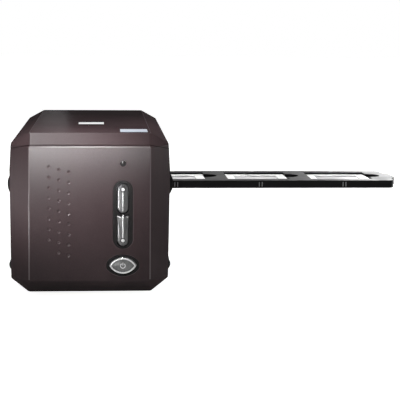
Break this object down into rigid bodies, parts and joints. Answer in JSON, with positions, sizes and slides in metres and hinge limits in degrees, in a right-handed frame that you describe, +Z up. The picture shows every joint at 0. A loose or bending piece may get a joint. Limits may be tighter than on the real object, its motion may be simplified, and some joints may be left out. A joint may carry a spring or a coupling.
{
  "type": "film slide scanner",
  "caption": "Desktop 35 mm film scanner: faceted grey casing with front push buttons and a long slide holder that passes through slots in its sides past a screw-driven scanning carriage.",
  "frame": {"origin": "on the table, under the middle of the casing's width and depth", "axes": "+X to the operator's right, along the slide holder; +Y to the back; +Z up"},
  "size_m": [0.3152, 0.2744, 0.1214],
  "materials": {
    "casing": "satin painted brown-grey",
    "black_plastic": "fine matt",
    "dark_bezel": "satin",
    "silver_button": "satin silver paint",
    "rubber": "matt",
    "white_label": "smooth",
    "silver_label": "metallic foil",
    "smoke_lens": "polished smoke",
    "circuit_board": "solder mask",
    "chip": "moulded",
    "can": "drawn can",
    "cream_plastic": "moulded",
    "shell_metal": "tinned",
    "sheet_steel": "zinc plated",
    "ground_steel": "ground",
    "brass": "turned",
    "bronze": "sintered",
    "spring_steel": "bright",
    "motor_can": "nickel",
    "white_plastic": "acetal",
    "cable": "flat cable",
    "mirror": "front silvered",
    "optical_glass": "coated",
    "slide_mount": "smooth",
    "film": "grey film",
    "mark": "printed"
  },
  "bodies": {
    "scanner": {"base_tub": "casing", "screw_wells": "casing", "floor_bosses": "casing", "top_cover": "casing", "front_panel": "casing", "rear_panel": "casing", "slot_bezel_left": "black_plastic", "slot_bezel_right": "black_plastic", "rubber_feet": "rubber", "side_bumpers": "rubber", "white_label": "white_label", "silver_label": "silver_label", "indicator_lens": "smoke_lens", "scan_button_bezel": "dark_bezel", "power_button_bezel": "dark_bezel", "switch_board": "circuit_board", "tact_switches": "chip", "indicator_diode": "optical_glass", "main_board": "circuit_board", "board_chips": "chip", "board_capacitors": "can", "board_connectors": "cream_plastic", "usb_socket": "shell_metal", "power_jack": "black_plastic", "chassis": "sheet_steel", "guide_rods": "ground_steel", "gate_posts": "brass", "film_gate": "black_plastic", "detent_spring": "spring_steel", "drive_motor": "motor_can", "screw_bearings": "bronze", "home_sensor": "chip", "sensor_ribbon": "cable", "switch_cable": "cable", "casing_screws": "ground_steel", "chassis_screws": "ground_steel", "board_screws": "ground_steel"},
    "holder": {"holder_frame": "black_plastic", "holder_marks": "mark", "slide_mounts": "slide_mount", "slide_films": "film"},
    "carriage": {"carriage_frame": "black_plastic", "carriage_lid": "black_plastic", "carriage_bushings": "bronze", "drive_nut": "white_plastic", "scan_mirror": "mirror", "lens_barrel": "black_plastic", "lens_elements": "optical_glass", "sensor_board": "circuit_board", "image_sensor": "chip", "lamp_housing": "black_plastic", "lamp_diffuser": "white_plastic", "lamp_board": "circuit_board"},
    "screw": {"lead_screw": "ground_steel", "screw_gear": "white_plastic"},
    "rotor": {"motor_shaft": "ground_steel", "motor_pinion": "brass"},
    "scan_upper": {"scan_button_upper": "silver_button"},
    "scan_lower": {"scan_button_lower": "silver_button"},
    "power": {"power_button": "silver_button"}
  },
  "joints": [
    {"name": "holder_slide", "type": "slide", "parent": "scanner", "child": "holder", "axis": [1, 0, 0], "range_m": [-0.204, 0.1], "deforming": ["detent_spring"]},
    {"name": "carriage_slide", "type": "slide", "parent": "scanner", "child": "carriage", "axis": [0, 1, 0], "range_m": [0, 0.028], "deforming": ["sensor_ribbon"]},
    {"name": "screw_turn", "type": "hinge", "parent": "scanner", "child": "screw", "pos_m": [0.043, 0, 0.0265], "axis": [0, 1, 0], "range_deg": [-1262, 1]},
    {"name": "rotor_turn", "type": "hinge", "parent": "scanner", "child": "rotor", "pos_m": [0.036, 0, 0.03862], "axis": [0, 1, 0], "range_deg": [-1, 1892]},
    {"name": "scan_upper_press", "type": "slide", "parent": "scanner", "child": "scan_upper", "axis": [0, 1, 0], "range_m": [0, 0.001], "stiffness_N_per_m": 300},
    {"name": "scan_lower_press", "type": "slide", "parent": "scanner", "child": "scan_lower", "axis": [0, 1, 0], "range_m": [0, 0.001], "stiffness_N_per_m": 300},
    {"name": "power_press", "type": "slide", "parent": "scanner", "child": "power", "axis": [0, 1, 0], "range_m": [0, 0.001], "stiffness_N_per_m": 300}
  ],
  "couplings": [
    {"joint": "screw_turn", "follows": "carriage_slide", "rad_per_m": -785.4},
    {"joint": "rotor_turn", "follows": "carriage_slide", "rad_per_m": 1178.1}
  ]
}
